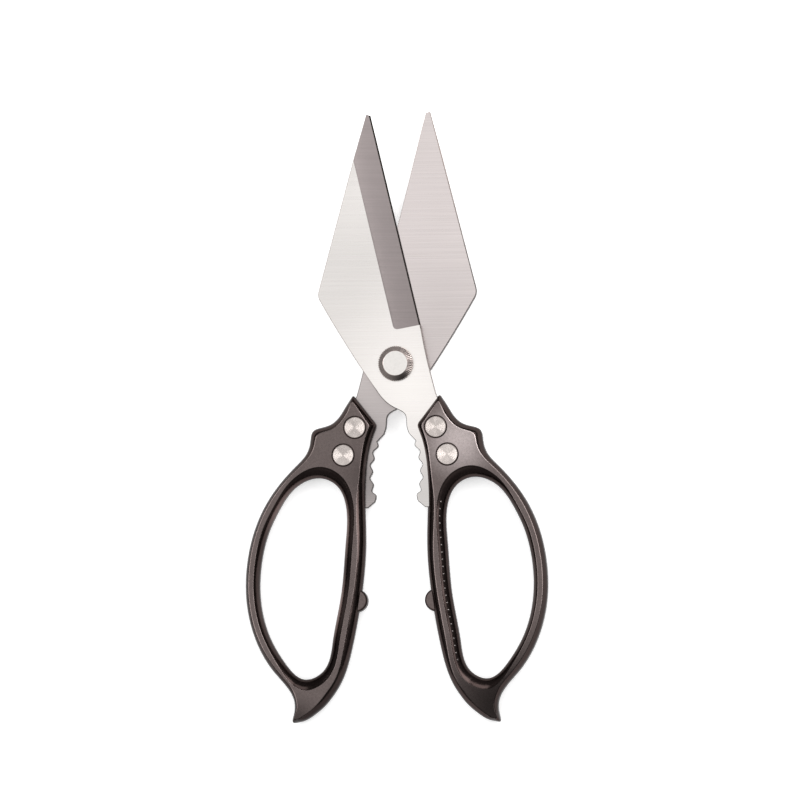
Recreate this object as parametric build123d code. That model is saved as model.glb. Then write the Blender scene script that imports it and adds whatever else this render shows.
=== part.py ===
import os
from math import cos, radians, sin

from build123d import *

# Kitchen shears lying flat. Sizes are in millimetres and angles in degrees. Each half is
# drawn as it lies with the shears shut: the pivot axis stands on the origin, the tips
# point to +Y and the half's own handle is on the +X side. The rear half is the front half
# turned over, with a slightly broader and longer blade. The tool rests on Z = 0.

# Whole tool
rest_angle = 13.7  # between the two halves as the tool lies
handle_thickness = 9.5
blade_thickness = 2.5
blade_gap = 0.1  # between the two blades
fit_clearance = 0.05  # running and sliding fits
seat_clearance = 0.02  # fits that are pressed or screwed tight
overrun = 2.0  # how far every cutting shape runs past the metal
up = (0, 0, 1)

# Blade
blade_reach = 90.5  # pivot to the tip of the front blade
tip_lead = 1.35  # pivot line to the cutting edge at the blunt tip
tip_width = 1.55
tip_slant = 0.6
rear_margin = 0.9  # how far the rear blade's tip and back stand out past the front blade's
belly_width = 25.25  # pivot line to the outer corner of the front blade
belly_height = 27.7  # pivot to the outer corner, along the blade
belly_radius = 4.8
heel_width = 10.3  # pivot line to the heel of the cutting edge
heel_height = 12.7
neck_width = 11.3  # pivot line to the side of the neck, level with the pivot
neck_reach = 13.2
neck_bow = 0.55
bevel_width = 9.6
bevel_corner = 1.3
edge_thickness = 0.5
hollow_depth = 0.2

# Neck below the pivot, from its outer side in to the notch: across in shares of
# neck_width, down in shares of neck_reach.
neck_shares = [(-0.62, 0.811), (-0.425, 1.03), (-0.16, 1.212), (0.018, 1.318)]

# Teeth on the inner side of the tang
tooth_count = 4
tooth_pitch = 4.63
tooth_depth = 1.05
tooth_bow = 0.95
teeth_width = 3.2  # pivot line to the first and last tooth tips
teeth_start = 29.8  # pivot to the first tooth tip
tooth_lean_share = 0.55
root_shares = (0.13, -0.32)
lobe_shares = [(-0.27, 0.756), (-0.313, 1.015), (-0.26, 1.317)]
tail_end_shares = (0.227, 1.836)
tail_corner_shares = (1.22, 1.987)

# Head of the handle, from the pivot line and from the tip of the head
head_drop = 13.2  # pivot to the tip of the head
head_span = 27.7  # pivot line to the outer corner
head_length = 30.45  # tip of the head to the top of the finger loop
corner_trim = 1.3  # length that each rounded corner takes from its two sides
flank_width = 1.9  # slope from the flat face to the side, seen from above
side_land = 0.9  # upright band between the front and back slopes
end_pull = 1.0  # how strongly the outline's curves keep their direction at a corner
flank_angles = (45, 60, 75, 90)

# Notch above the teeth and hidden side of the tang, in shares of head_span and head_length
notch_shares = [(0.040, 0.177), (0.047, 0.233), (0.043, 0.322), (0.060, 0.401)]
tang_side_shares = [(0.469, -0.016), (0.708, 0.617), (0.693, 0.880), (0.415, 0.979)]
tang_corner = 2.0

# Outlines of the head: across, down and flank, in shares of head_span, head_length and
# flank_width. The tip, inner corner and outer corner are the corners of the head.
tip_shares = (0.511, 0.0, 0.8)
inner_corner_shares = (0.155, 0.315, 1.08)
inner_side_shares = [(0.202, 0.486, 1.1), (0.227, 0.749, 1.0), (0.218, 0.960, 1.1)]
outer_side_shares = [(1.136, 0.880, 0.85), (1.047, 0.769, 0.95), (1.0035, 0.663, 1.0)]
outer_corner_shares = (0.992, 0.449, 1.0)
hollow_side_shares = [(0.757, 0.3547, 1.0), (0.657, 0.2529, 1.0), (0.592, 0.128, 0.95)]

# Finger loop and its two legs
loop_width = 29.75
loop_length = 71.85
loop_offset = 10.0  # pivot line to the inner side of the loop
inner_leg = 7.45
outer_leg = 5.2
loop_flank_width = 2.6

# Finger loop, down its inner side and up its outer side: across, down and flank, in shares
# of loop_width, loop_length and loop_flank_width
loop_inner_shares = [(0.076, 0.116, 1.15), (0.020, 0.311, 1.0), (0.0007, 0.562, 1.0),
                     (0.034, 0.798, 1.1), (0.1075, 0.951, 1.4)]
loop_bottom_shares = [(0.303, 1.0, 1.6)]
loop_outer_shares = [(0.585, 0.926, 0.9), (0.829, 0.784, 0.75), (0.966, 0.617, 0.75),
                     (1.0, 0.464, 0.75), (0.9486, 0.283, 0.75), (0.8568, 0.172, 0.7),
                     (0.700, 0.060, 0.9)]
loop_top_shares = [(0.400, 0.0, 1.5), (0.195, 0.0335, 1.45)]

# Tail below the loop, from the loop's lower inner corner: across, down and flank, in
# shares of loop_width, tail_length and flank_width
tail_length = 16.3
tail_inner_shares = [(-0.107, 0.088, 1.1), (-0.056, 0.276, 1.15), (0.028, 0.521, 1.1),
                     (0.154, 0.767, 0.9), (0.265, 0.914, 0.7)]
tail_tip_shares = (0.403, 1.0, 0.45)
tail_outer_shares = [(0.391, 0.706, 0.6), (0.4165, 0.472, 0.65), (0.489, 0.276, 0.75),
                     (0.590, 0.095, 0.75)]
leg_flank_share = 1.1
outer_leg_flank_share = 0.8

# Stop on the inner leg, which meets the other handle's stop when the shears are shut
stop_radius = 4.1
stop_drop = 85.6  # pivot to stop
stop_thickness = 4.6
stop_gap = 0.1  # pivot line to stop
stop_chamfer = 0.5

# Rivets, two in each handle. Their places are shares of head_span and head_length.
rivet_shares = {"upper": (0.422, 0.369), "lower": (0.529, 0.7065)}
rivet_head_radius = 3.9
rivet_head_height = 1.1
rivet_head_chamfer = 0.2
rivet_head_gap = 0.2
rivet_sleeve_radius = 2.0
rivet_post_radius = 1.3
rivet_end_gap = 0.3

# Pivot
head_radius = 6.35
head_flat_radius = 4.4
head_rim = 0.6
washer_radius = 5.4
washer_thickness = 0.4
sleeve_radius = 3.0
screw_radius = 2.0
sleeve_end_gap = 0.15
screw_end_gap = 0.5
nut_floor = 0.9
nut_flange = 1.55
spring_thickness = 0.35
spanner_hole_radius = 0.7
spanner_hole_depth = 0.8
spanner_hole_pitch = 3.9

# Heights that follow from the sizes above
shear_height = handle_thickness / 2
front_low = shear_height + blade_gap / 2
front_high = front_low + blade_thickness
rear_low = shear_height - blade_gap / 2 - blade_thickness
flank_depth = (handle_thickness - side_land) / 2


def spots(shares, width, length, across=0, down=0):
    # Points of a table of shares, measured to the right of `across` and below `down`.
    return [Vector(across + row[0] * width, -down - row[1] * length) for row in shares]


def flanks(shares, width):
    return [row[2] * width for row in shares]


def left_of(direction):
    return Vector(-direction.Y, direction.X)


def way(before, point, after):
    # Direction of a smooth curve at one of its points, from the points beside it.
    back, ahead = point - before, after - point
    weighted = back.normalized() * ahead.length + ahead.normalized() * back.length
    return weighted.normalized()


def moved(points, amounts, closed=False):
    # Points moved to the left of their own way along the curve. The end points of an open
    # curve are only used for the direction there.
    count = len(points)
    steps = range(count) if closed else range(1, count - 1)
    return [
        points[i] + left_of(way(points[i - 1], points[i], points[(i + 1) % count])) * amounts[i]
        for i in steps
    ]


def lift(points, height):
    return [Vector(p.X, p.Y, height) for p in points]


def tooth_line(drop):
    # Bowed line that the tooth tips touch, at a distance below the first tip.
    half = tooth_pitch * (tooth_count - 1) / 2
    return teeth_width + tooth_bow * (1 - ((drop - half) / half) ** 2)


def tooth_points():
    # Tips and valleys down the inner side of the tang, then the round lobe below them.
    points = [Vector(teeth_width + root_shares[0] * tooth_pitch,
                     -teeth_start - root_shares[1] * tooth_pitch)]
    for i in range(tooth_count):
        tip = i * tooth_pitch
        valley = tip + tooth_lean_share * tooth_pitch
        points.append(Vector(tooth_line(tip), -teeth_start - tip))
        points.append(Vector(tooth_line(valley) + tooth_depth, -teeth_start - valley))
    return points + from_last_tooth(lobe_shares)


def from_last_tooth(shares):
    last = teeth_start + (tooth_count - 1) * tooth_pitch
    return spots(shares, tooth_pitch, tooth_pitch, teeth_width, last)


def tang_side():
    # Hidden side of the tang: from the neck down past the rivets to the end of the tail.
    side = spots(tang_side_shares, head_span, head_length, 0, head_drop)
    return side + from_last_tooth([tail_corner_shares, tail_end_shares])


def cutting_edge(margin):
    # Heel and tip of the cutting edge of a blade that stands out by a margin.
    tip = Vector(tip_lead - margin, blade_reach + margin - tip_slant)
    return Vector(heel_width, heel_height), tip


def blade_face(margin):
    heel, tip_edge = cutting_edge(margin)
    tip_back = Vector(tip_lead - tip_width - margin, blade_reach + margin)
    side = tang_side()
    teeth = tooth_points()
    notch = spots(notch_shares, head_span, head_length, 0, head_drop)
    neck = spots(neck_shares, neck_width, neck_reach)
    belly = Vector(-belly_width, belly_height)
    slide = (belly - neck[0]).normalized()
    belly -= slide * (margin / 2 / slide.X)  # the corner moves out along the neck's side
    middle = (neck[0] + belly) / 2
    bow = middle + left_of((neck[0] - belly).normalized()) * -neck_bow
    edges = [
        Line(tip_back, tip_edge),
        Line(tip_edge, heel),
        Spline(heel, (neck_width, 0), side[0]),
        *FilletPolyline(*side, radius=tang_corner).edges(),
        Line(side[-1], teeth[-1]),
        Spline(*reversed(teeth)),
        Line(teeth[0], notch[-1]),
        Spline(*reversed(notch), *reversed(neck)),
        ThreePointArc(neck[0], bow, belly),
        Line(belly, tip_back),
    ]
    face = Face(Wire(edges))
    corner = face.vertices().sort_by_distance(belly)[0]
    return face.fillet_2d(belly_radius, [corner])


def bevel_cut(margin):
    # Hollow-ground band: a wedge with a slightly arched floor that runs along the cutting
    # edge, from a step at the heel out past the tip.
    heel, tip = cutting_edge(margin)
    along = (tip - heel).normalized()
    section = Plane(origin=heel, x_dir=left_of(along), z_dir=along)
    depth = blade_thickness - edge_thickness
    rise = depth / bevel_width
    start = (bevel_width, 0)
    floor = (bevel_width / 2, -depth / 2 - hollow_depth)
    edge = (0, -depth)
    beyond = (-overrun, -depth - rise * overrun)
    profile = Face(Wire([
        ThreePointArc(start, floor, edge),
        Line(edge, beyond),
        Line(beyond, (-overrun, overrun)),
        Line((-overrun, overrun), (bevel_width, overrun)),
        Line((bevel_width, overrun), start),
    ]))
    length = (tip - heel).length + overrun
    wedge = extrude(section * profile, length, dir=along)
    # The grinding wheel leaves a round corner where the band ends above the pivot.
    plan = Plane(origin=heel, x_dir=left_of(along), z_dir=up)
    band = Rectangle(bevel_width + overrun, length, align=(Align.MIN, Align.MAX))
    band = Pos(-overrun, 0) * band
    corner = band.vertices().sort_by_distance((bevel_width, 0))[0]
    band = fillet(corner, bevel_corner)
    block = extrude(plan * band, blade_thickness, both=True)
    return Pos(0, 0, front_high) * (wedge & block)


def rivet_places():
    return {name: spots([share], head_span, head_length, 0, head_drop)[0]
            for name, share in rivet_shares.items()}


def bore(place, radius, low, high):
    return Pos(place.X, place.Y, low) * Cylinder(
        radius, high - low, align=(Align.CENTER, Align.CENTER, Align.MIN))


def blade(pivot_hole, margin):
    plate = Pos(0, 0, front_low) * extrude(blade_face(margin), blade_thickness, dir=up)
    plate -= bevel_cut(margin)
    plate -= bore(Vector(0, 0), pivot_hole, front_low - overrun, front_high + overrun)
    for place in rivet_places().values():
        plate -= bore(place, rivet_sleeve_radius + fit_clearance,
                      front_low - overrun, front_high + overrun)
    return plate


def loop_table():
    return loop_inner_shares + loop_bottom_shares + loop_outer_shares + loop_top_shares


def loop_spots(shares):
    return spots(shares, loop_width, loop_length, loop_offset, head_drop + head_length)


def leg_spots(shares, width):
    # Points of the handle's outline beside one side of the loop, one leg's width away.
    table = loop_table()
    first = table.index(shares[0])
    points = moved(loop_spots(table), [-width] * len(table), closed=True)
    return points[first:first + len(shares)]


def handle_stretches():
    # The handle's outline in four stretches that meet at its corners, down the inner side
    # and up the outer side, each a list of points and a list of flank widths.
    def head(shares):
        return spots(shares, head_span, head_length, 0, head_drop)

    def tail(shares):
        floor = head_drop + head_length + loop_length
        return spots(shares, loop_width, tail_length, loop_offset, floor)

    inner_legs, outer_legs = loop_inner_shares[:-1], loop_outer_shares[:-1]
    inner = [inner_corner_shares, *inner_side_shares]
    inner_tail = [*tail_inner_shares, tail_tip_shares]
    outer_tail = [tail_tip_shares, *tail_outer_shares]
    outer = [*outer_side_shares, outer_corner_shares]
    hollow = [outer_corner_shares, *hollow_side_shares, tip_shares]
    front = [tip_shares, inner_corner_shares]
    return [
        (head(front), flanks(front, flank_width)),
        (head(inner) + leg_spots(inner_legs, inner_leg) + tail(inner_tail),
         flanks(inner, flank_width) + [leg_flank_share * flank_width] * len(inner_legs)
         + flanks(inner_tail, flank_width)),
        (tail(outer_tail) + leg_spots(outer_legs, outer_leg) + head(outer),
         flanks(outer_tail, flank_width)
         + [outer_leg_flank_share * flank_width] * len(outer_legs)
         + flanks(outer, flank_width)),
        (head(hollow), flanks(hollow, flank_width)),
    ]


def outline_wire(share, height):
    # The handle's outline drawn in by a share of its flank, with rounded corners.
    stretches = handle_stretches()
    starts, ends = [], []
    for i, (points, widths) in enumerate(stretches):
        before = stretches[i - 1][0]
        arriving = (before[-1] - before[-2]).normalized()
        leaving = (points[1] - points[0]).normalized()
        first, second = left_of(arriving), left_of(leaving)
        mitre = (first + second) * (widths[0] * share / (1 + first.dot(second)))
        corner = points[0] + mitre
        starts.append((corner + leaving * corner_trim, leaving))
        ends.append((corner - arriving * corner_trim, arriving))
    edges = []
    for i, (points, widths) in enumerate(stretches):
        start, leaving = starts[i]
        end, arriving = ends[(i + 1) % len(stretches)]
        inner = moved(points, [width * share for width in widths])
        run = lift([start, *inner, end], height)
        turn = lift([ends[i][0], start], height)
        edges.append(TangentArc(*turn, tangent=ends[i][1]))
        if inner:
            edges.append(Spline(*run, tangents=[leaving, arriving],
                                tangent_scalars=[end_pull, end_pull]))
        else:
            edges.append(Line(*run))
    return Wire(edges)


def loop_wire(share, height):
    table = loop_table()
    widths = [-width * share for width in flanks(table, loop_flank_width)]
    points = moved(loop_spots(table), widths, closed=True)
    return Wire([Spline(*lift(points, height), periodic=True)])


def flank_levels():
    # Heights and shares of the flank from the back face to the front face. The slope is
    # part of a circle that leaves the face at an angle and ends upright.
    steep = radians(flank_angles[0])
    levels = []
    for angle in flank_angles:
        turn = radians(angle)
        depth = flank_depth * (cos(steep) - cos(turn)) / cos(steep)
        levels.append((depth, (1 - sin(turn)) / (1 - sin(steep))))
    return levels + [(handle_thickness - depth, share) for depth, share in reversed(levels)]


def loop_cut():
    levels = flank_levels()
    wires = [loop_wire(share, height) for height, share in levels]
    middle = Solid.make_loft(wires, ruled=True)
    face = Face(loop_wire(levels[0][1], 0))
    below = extrude(face, overrun, dir=(0, 0, -1))
    above = Pos(0, 0, handle_thickness) * extrude(face, overrun, dir=up)
    return middle + below + above


def tang_slot():
    # Slot that the tang slides into: the tang's hidden side, open on the inner side.
    side = tang_side()
    top = side[0] + (side[0] - side[1]).normalized() * head_drop
    path = [top, *side[1:]]
    last = side[-1] + (side[-1] - side[-2]).normalized() * head_span
    shifted = moved([*path, last], [fit_clearance] * (len(path) + 1))
    first = top + left_of((path[1] - top).normalized()) * fit_clearance
    hidden = FilletPolyline(first, *shifted, radius=tang_corner).edges()
    start, end = shifted[-1], first
    outside = [start, Vector(-overrun, start.Y), Vector(-overrun, end.Y), end]
    face = Face(Wire([*hidden, *Polyline(*outside).edges()]))
    height = blade_thickness + fit_clearance * 2
    return Pos(0, 0, front_low - fit_clearance) * extrude(face, height, dir=up)


def stop():
    boss = Cylinder(stop_radius, stop_thickness)
    boss = chamfer(boss.edges().filter_by(GeomType.CIRCLE), stop_chamfer)
    return Pos(stop_radius + stop_gap, -stop_drop, shear_height) * boss


def handle():
    body = Solid.make_loft(
        [outline_wire(share, height) for height, share in flank_levels()], ruled=True)
    body = body + stop()
    body -= loop_cut()
    body -= tang_slot()
    recess = rivet_head_radius + rivet_head_gap
    for place in rivet_places().values():
        body -= bore(place, rivet_sleeve_radius + fit_clearance, -overrun,
                     handle_thickness + overrun)
        body -= bore(place, recess, -overrun, rivet_head_height)
        body -= bore(place, recess, handle_thickness - rivet_head_height,
                     handle_thickness + overrun)
    return body


def rivet_head(place, low, high):
    # A turned head with its outer rim broken. The rim is on the face at `high`.
    head = bore(place, rivet_head_radius, min(low, high), max(low, high))
    rim = head.edges().filter_by(GeomType.CIRCLE).sort_by_distance((place.X, place.Y, high))[0]
    return chamfer(rim, rivet_head_chamfer)


def rivet_post(place):
    under = handle_thickness - rivet_head_height
    shank = bore(place, rivet_post_radius, rivet_head_height + rivet_end_gap, under)
    return rivet_head(place, under, handle_thickness) + shank


def rivet_sleeve(place):
    top = handle_thickness - rivet_head_height - rivet_end_gap
    tube = bore(place, rivet_sleeve_radius, rivet_head_height, top)
    hole = bore(place, rivet_post_radius + seat_clearance, rivet_head_height, top + overrun)
    return rivet_head(place, rivet_head_height, 0) + tube - hole


def ring(outer, inner, low, high):
    return bore(Vector(0, 0), outer, low, high) - bore(
        Vector(0, 0), inner, low - overrun, high + overrun)


def thrust_washer():
    low = front_high + fit_clearance
    return ring(washer_radius, sleeve_radius + fit_clearance, low, low + washer_thickness)


def pivot_screw():
    # Knurled rim, bevel and flat turned face over a plain shank.
    under = front_high + fit_clearance + washer_thickness
    rim = under + head_rim
    low = nut_floor + screw_end_gap
    profile = Polyline(
        (0, low), (screw_radius - seat_clearance, low), (screw_radius - seat_clearance, under),
        (head_radius, under), (head_radius, rim), (head_flat_radius, handle_thickness),
        (0, handle_thickness), close=True)
    return revolve(Plane.XZ * make_face(profile), Axis.Z)


def pivot_nut():
    # Sleeve nut: a flange on the back, and the sleeve that both blades turn on.
    top = front_high + fit_clearance - sleeve_end_gap + washer_thickness
    profile = Polyline(
        (0, 0), (head_radius, 0), (head_radius, nut_flange), (sleeve_radius, nut_flange),
        (sleeve_radius, top), (screw_radius, top), (screw_radius, nut_floor), (0, nut_floor),
        close=True)
    nut = revolve(Plane.XZ * make_face(profile), Axis.Z)
    for side in (-1, 1):
        nut -= bore(Vector(side * spanner_hole_pitch, 0), spanner_hole_radius, -overrun,
                    spanner_hole_depth)
    return nut


def spring_washer():
    # Dished washer: its inner rim bears on the nut's flange, its outer rim on the blade.
    inner = sleeve_radius + fit_clearance
    profile = Polyline(
        (inner, nut_flange), (washer_radius, rear_low - spring_thickness),
        (washer_radius, rear_low), (inner, nut_flange + spring_thickness), close=True)
    return revolve(Plane.XZ * make_face(profile), Axis.Z)


def as_front(shape):
    return Rot(0, 0, rest_angle / 2) * shape


def as_rear(shape):
    return Rot(0, 0, -rest_angle / 2) * Pos(0, 0, handle_thickness) * Rot(0, 180, 0) * shape


def main():
    casting = handle()
    pieces = {
        "front_blade": as_front(blade(sleeve_radius + fit_clearance, 0)),
        "rear_blade": as_rear(blade(sleeve_radius + seat_clearance, rear_margin)),
        "right_handle": as_front(casting),
        "left_handle": as_rear(casting),
        "pivot_screw": pivot_screw(),
        "pivot_nut": pivot_nut(),
        "thrust_washer": thrust_washer(),
        "spring_washer": spring_washer(),
    }
    for name, place in rivet_places().items():
        pieces[f"right_{name}_post"] = as_front(rivet_post(place))
        pieces[f"right_{name}_sleeve"] = as_front(rivet_sleeve(place))
        pieces[f"left_{name}_post"] = as_rear(rivet_post(place))
        pieces[f"left_{name}_sleeve"] = as_rear(rivet_sleeve(place))
    os.makedirs("parts", exist_ok=True)
    for name, shape in pieces.items():
        export_step(shape, f"parts/{name}.step")


main()
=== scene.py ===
from math import ceil, cos, pi, radians, sin, tan

import bmesh
import bpy
import numpy as np
from mathutils import Matrix, Vector


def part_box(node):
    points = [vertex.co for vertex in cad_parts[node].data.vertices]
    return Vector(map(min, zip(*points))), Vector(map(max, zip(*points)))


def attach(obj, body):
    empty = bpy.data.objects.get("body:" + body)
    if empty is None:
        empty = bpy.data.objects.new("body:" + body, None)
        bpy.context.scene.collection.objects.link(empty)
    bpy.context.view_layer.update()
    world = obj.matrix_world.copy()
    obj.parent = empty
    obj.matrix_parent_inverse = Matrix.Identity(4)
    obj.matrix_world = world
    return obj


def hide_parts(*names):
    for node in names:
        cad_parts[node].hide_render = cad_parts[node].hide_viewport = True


# Kitchen shears, dressed for the picture. Each half is drawn in millimetres as it lies with
# the shears shut (pivot on the origin, tips to +Y, its own handle on +X), then turned or
# turned over into place, as the real halves are assembled. Lengths in the pieces' tables of
# values are in millimetres and angles in degrees.

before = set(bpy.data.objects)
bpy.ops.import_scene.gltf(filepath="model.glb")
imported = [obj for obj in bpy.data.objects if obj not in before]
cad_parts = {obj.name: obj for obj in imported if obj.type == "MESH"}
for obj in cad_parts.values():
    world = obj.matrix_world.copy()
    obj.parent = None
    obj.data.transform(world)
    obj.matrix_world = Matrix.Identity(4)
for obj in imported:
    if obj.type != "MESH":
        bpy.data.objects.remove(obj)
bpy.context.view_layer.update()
scene = bpy.context.scene
mm = 0.001
weldGap = 1e-7  # in metres; points nearer than this are one

print("stage: heights and places from the frame")
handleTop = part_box("right_handle")[1][2] / mm
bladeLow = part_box("front_blade")[0][2] / mm
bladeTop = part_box("front_blade")[1][2] / mm
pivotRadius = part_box("pivot_screw")[1][0] / mm
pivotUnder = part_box("thrust_washer")[1][2] / mm
rivetRadius = (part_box("right_upper_post")[1][0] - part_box("right_upper_post")[0][0]) / 2 / mm

tool = {
    "restAngle": 13.7,  # between the two halves
    "pivotHoleRadius": 3.05,
    "rivetHoleRadius": 2.05,
}
turnFront = Matrix.Rotation(radians(tool["restAngle"] / 2), 4, "Z")
turnRear = (Matrix.Rotation(radians(-tool["restAngle"] / 2), 4, "Z")
            @ Matrix.Translation((0, 0, handleTop * mm)) @ Matrix.Rotation(pi, 4, "Y"))


# Curves through given points

def spots(shares, width, length, across=0.0, down=0.0):
    # Points of a table of shares, to the right of `across` and below `down`.
    return [np.array((across + row[0] * width, -down - row[1] * length)) for row in shares]


def leftOf(way):
    return np.array((-way[1], way[0]))


def unit(way):
    return way / np.linalg.norm(way)


def wayAt(before, point, after):
    back, ahead = point - before, after - point
    return unit(unit(back) * np.linalg.norm(ahead) + unit(ahead) * np.linalg.norm(back))


def movedLeft(points, amounts, closed=False):
    count = len(points)
    steps = range(count) if closed else range(1, count - 1)
    return [points[i] + leftOf(wayAt(points[i - 1], points[i], points[(i + 1) % count]))
            * amounts[i] for i in steps]


def smoothLine(points, counts, startWay=None, endWay=None, closed=False):
    # Cubic curve through the points, as even samples on each span. The last point of an
    # open curve is left out, so that pieces of outline can follow each other.
    p = np.array(points, float)
    if closed:
        p = np.vstack([p, p[:1]])
    gap = np.linalg.norm(np.diff(p, axis=0), axis=1)
    last = len(p) - 1
    rows, sums = np.zeros((last + 1, last + 1)), np.zeros((last + 1, 2))
    for i in range(1, last):
        rows[i, i - 1:i + 2] = 1 / gap[i - 1], 2 / gap[i - 1] + 2 / gap[i], 1 / gap[i]
        sums[i] = 3 * ((p[i] - p[i - 1]) / gap[i - 1] ** 2 + (p[i + 1] - p[i]) / gap[i] ** 2)
    if closed:
        rows[0, 0], rows[0, last] = 1, -1
        rows[last, last - 1], rows[last, 1] = 1 / gap[-1], 1 / gap[0]
        rows[last, last] = 2 / gap[-1] + 2 / gap[0]
        sums[last] = 3 * ((p[-1] - p[-2]) / gap[-1] ** 2 + (p[1] - p[0]) / gap[0] ** 2)
    else:
        rows[0, :2], sums[0] = (2, 1), 3 * (p[1] - p[0]) / gap[0]
        rows[last, -2:], sums[last] = (1, 2), 3 * (p[-1] - p[-2]) / gap[-1]
        if startWay is not None:
            rows[0, :2], sums[0] = (1, 0), startWay
        if endWay is not None:
            rows[last, -2:], sums[last] = (0, 1), endWay
    slopes = np.linalg.solve(rows, sums)
    line = []
    for i in range(last):
        for t in np.arange(counts[i]) / counts[i]:
            line.append((2 * t ** 3 - 3 * t ** 2 + 1) * p[i] + (3 * t ** 2 - 2 * t ** 3) * p[i + 1]
                        + gap[i] * ((t ** 3 - 2 * t ** 2 + t) * slopes[i]
                                    + (t ** 3 - t ** 2) * slopes[i + 1]))
    return line


def spanCounts(points, step, closed=False):
    ends = points[1:] + points[:1] if closed else points[1:]
    return [max(2, ceil(np.linalg.norm(b - a) / step)) for a, b in zip(points, ends)]


def roundedCorner(start, corner, end, count):
    return [(1 - t) ** 2 * start + 2 * t * (1 - t) * corner + t ** 2 * end
            for t in np.arange(count) / count]


def straight(start, end, step):
    count = max(1, ceil(np.linalg.norm(end - start) / step))
    return [start + (end - start) * t for t in np.arange(count) / count]


def filleted(points, radius, count):
    # Open polyline whose inner corners are rounded; its two ends are kept.
    line = [points[0]]
    for before, corner, after in zip(points, points[1:], points[2:]):
        a, b = unit(before - corner), unit(after - corner)
        reach = radius / tan(np.arccos(np.clip(a.dot(b), -1, 1)) / 2)
        line += roundedCorner(corner + a * reach, corner, corner + b * reach, count)
        line.append(corner + b * reach)
    return line + [points[-1]]


def insetRing(ring, amount):
    # A dense closed ring drawn in to its left, which is inwards for a ring that runs
    # anticlockwise.
    p = np.array(ring)
    a, b = p - np.roll(p, 1, axis=0), np.roll(p, -1, axis=0) - p
    a /= np.linalg.norm(a, axis=1)[:, None]
    b /= np.linalg.norm(b, axis=1)[:, None]
    left = np.stack([-a[:, 1] - b[:, 1], a[:, 0] + b[:, 0]], 1)
    left /= (1 + (a * b).sum(1))[:, None]
    return p + left * amount


def circle(place, radius, count):
    angles = np.arange(count) * 2 * pi / count
    return np.stack([place[0] + radius * np.cos(angles), place[1] + radius * np.sin(angles)], 1)


# Meshes from rings of points

def addRing(bm, ring, height):
    heights = np.broadcast_to(height, len(ring))
    return [bm.verts.new((x * mm, y * mm, z * mm)) for (x, y), z in zip(ring, heights)]


def addWalls(bm, rings, inward=False):
    # Quads between rings that run anticlockwise seen from above, the highest first.
    for upper, lower in zip(rings, rings[1:]):
        for i in range(len(upper)):
            j = (i + 1) % len(upper)
            quad = [upper[i], lower[i], lower[j], upper[j]]
            bm.faces.new(quad[::-1] if inward else quad)


def fillFlat(bm, rings, up):
    # A flat face bounded by one outer ring and any number of holes.
    edges = []
    for ring in rings:
        edges += [bm.edges.get((a, b)) for a, b in zip(ring, ring[1:] + ring[:1])]
    filled = bmesh.ops.triangle_fill(bm, use_beauty=True, use_dissolve=False, edges=edges)
    for face in filled["geom"]:
        if isinstance(face, bmesh.types.BMFace):
            face.normal_update()
            if (face.normal.z > 0) != up:
                face.normal_flip()


def linked(name, data):
    item = bpy.data.objects.new(name, data)
    scene.collection.objects.link(item)
    return item


def toObject(bm, name):
    mesh = bpy.data.meshes.new(name)
    bm.to_mesh(mesh)
    bm.free()
    return linked(name, mesh)


def pathObject(points, name):
    # Points in millimetres, joined in a row.
    mesh = bpy.data.meshes.new(name)
    mesh.from_pydata([[value * mm for value in point] for point in points],
                     [(i, i + 1) for i in range(len(points) - 1)], [])
    return linked(name, mesh)


def stacked(levels, name, holes=()):
    # A closed solid from rings with their heights, the highest first. Each hole is given in
    # the same way.
    bm = bmesh.new()
    stacks = [[addRing(bm, *level) for level in rows] for rows in (levels, *holes)]
    for i, rings in enumerate(stacks):
        addWalls(bm, rings, inward=i > 0)
    fillFlat(bm, [rings[0] for rings in stacks], True)
    fillFlat(bm, [rings[-1] for rings in stacks], False)
    return toObject(bm, name)


def baked(piece):
    # The object with its modifiers made part of its mesh.
    depsgraph = bpy.context.evaluated_depsgraph_get()
    depsgraph.update()
    mesh = bpy.data.meshes.new_from_object(piece.evaluated_get(depsgraph))
    piece.modifiers.clear()
    piece.data = mesh
    return piece


def cut(piece, tools, operation="DIFFERENCE"):
    for other in tools:
        modifier = piece.modifiers.new("cut", "BOOLEAN")
        modifier.operation = operation
        modifier.solver = "EXACT"
        modifier.object = other
    baked(piece)
    for other in tools:
        bpy.data.objects.remove(other)
    return piece


def crisp(piece, angle, weld=False):
    # Smooth shading that stops at edges which turn more than the angle.
    bm = bmesh.new()
    bm.from_mesh(piece.data)
    if weld:
        bmesh.ops.remove_doubles(bm, verts=bm.verts, dist=weldGap)
        bmesh.ops.recalc_face_normals(bm, faces=bm.faces)
    bmesh.ops.dissolve_degenerate(bm, dist=weldGap, edges=bm.edges)
    for edge in bm.edges:
        if len(edge.link_faces) == 2:
            edge.smooth = edge.calc_face_angle(0) < radians(angle)
    for face in bm.faces:
        face.smooth = True
    bm.to_mesh(piece.data)
    bm.free()
    return piece


def finished(piece, name, turn, materials, body, nodes):
    # Turned into place, with its finishes by the faces' own numbers.
    piece.data.transform(turn)
    piece.name = piece.data.name = name
    numbers = [face.material_index for face in piece.data.polygons]
    piece.data.materials.clear()
    for material in materials:
        piece.data.materials.append(material)
    piece.data.polygons.foreach_set("material_index", numbers)
    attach(piece, body)
    if nodes:
        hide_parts(*nodes)
    return piece


# Materials

def addNode(tree, kind, inputs=None, **settings):
    node = tree.nodes.new(kind)
    for key, value in settings.items():
        setattr(node, key, value)
    for key, value in (inputs or {}).items():
        if isinstance(value, bpy.types.NodeSocket):
            tree.links.new(value, node.inputs[key])
        else:
            node.inputs[key].default_value = value
    return node


grainRange = (0.3, 0.7)  # where nearly all values of the noise lie
bumpDepth = 0.00002  # in metres


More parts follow.
